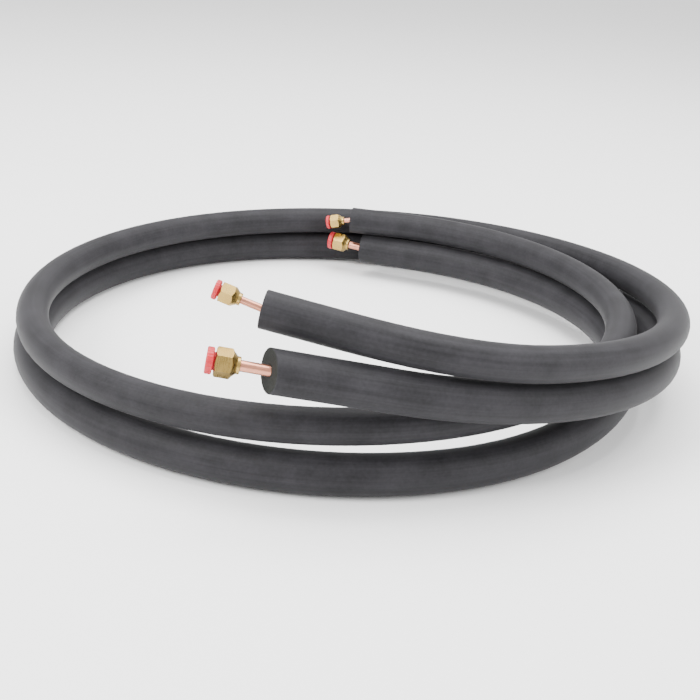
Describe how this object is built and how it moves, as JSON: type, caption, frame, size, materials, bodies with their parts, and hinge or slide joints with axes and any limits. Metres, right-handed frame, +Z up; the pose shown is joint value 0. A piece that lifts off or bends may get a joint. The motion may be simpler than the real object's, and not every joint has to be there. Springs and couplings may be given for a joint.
{
  "type": "mini split line set",
  "caption": "Coil of two foam-insulated copper lines, a small one on a large one, each with a brass flare nut and a red plug on both ends.",
  "frame": {"origin": "on the floor, under the middle of the part's bounding box", "axes": "+Z up along the coil's axis, +X to the right of the picture's view, -Y towards its viewer: the free ends are at front left"},
  "size_m": [0.7178, 0.7232, 0.1844],
  "materials": {
    "copper": "drawn soft copper tube, satin bright",
    "foam": "closed-cell foam with a smooth satin skin, charcoal grey",
    "brass": "machined, satin",
    "red_plastic": "moulded, semi-matte"
  },
  "bodies": {
    "lines": {"liquid_tube": "copper", "suction_tube": "copper", "liquid_insulation": "foam", "suction_insulation": "foam"},
    "liquid_start_nut": {"liquid_start_nut": "brass"},
    "liquid_end_nut": {"liquid_end_nut": "brass"},
    "suction_start_nut": {"suction_start_nut": "brass"},
    "suction_end_nut": {"suction_end_nut": "brass"},
    "liquid_start_plug": {"liquid_start_plug": "red_plastic"},
    "liquid_end_plug": {"liquid_end_plug": "red_plastic"},
    "suction_start_plug": {"suction_start_plug": "red_plastic"},
    "suction_end_plug": {"suction_end_plug": "red_plastic"}
  },
  "joints": [
    {"name": "liquid_start_swivel", "type": "hinge", "parent": "lines", "child": "liquid_start_nut", "pos_m": [-0.03679, 0.30116, 0.06337], "axis": [-0.9611, 0.1816, -0.2079], "continuous": true},
    {"name": "liquid_end_swivel", "type": "hinge", "parent": "lines", "child": "liquid_end_nut", "pos_m": [-0.10945, -0.3088, 0.17652], "axis": [-0.9451, 0.0837, 0.3159], "continuous": true},
    {"name": "suction_start_swivel", "type": "hinge", "parent": "lines", "child": "suction_start_nut", "pos_m": [-0.03194, 0.30367, 0.03858], "axis": [-0.9514, 0.2953, 0.0872], "continuous": true},
    {"name": "suction_end_swivel", "type": "hinge", "parent": "lines", "child": "suction_end_nut", "pos_m": [-0.11023, -0.34774, 0.12981], "axis": [-0.9838, -0.0856, 0.1577], "continuous": true},
    {"name": "liquid_start_pull", "type": "slide", "parent": "liquid_start_nut", "child": "liquid_start_plug", "axis": [-0.9611, 0.1816, -0.2079], "range_m": [0, 0.01]},
    {"name": "liquid_end_pull", "type": "slide", "parent": "liquid_end_nut", "child": "liquid_end_plug", "axis": [-0.9451, 0.0837, 0.3159], "range_m": [0, 0.01]},
    {"name": "suction_start_pull", "type": "slide", "parent": "suction_start_nut", "child": "suction_start_plug", "axis": [-0.9514, 0.2953, 0.0872], "range_m": [0, 0.012]},
    {"name": "suction_end_pull", "type": "slide", "parent": "suction_end_nut", "child": "suction_end_plug", "axis": [-0.9838, -0.0856, 0.1577], "range_m": [0, 0.012]}
  ]
}
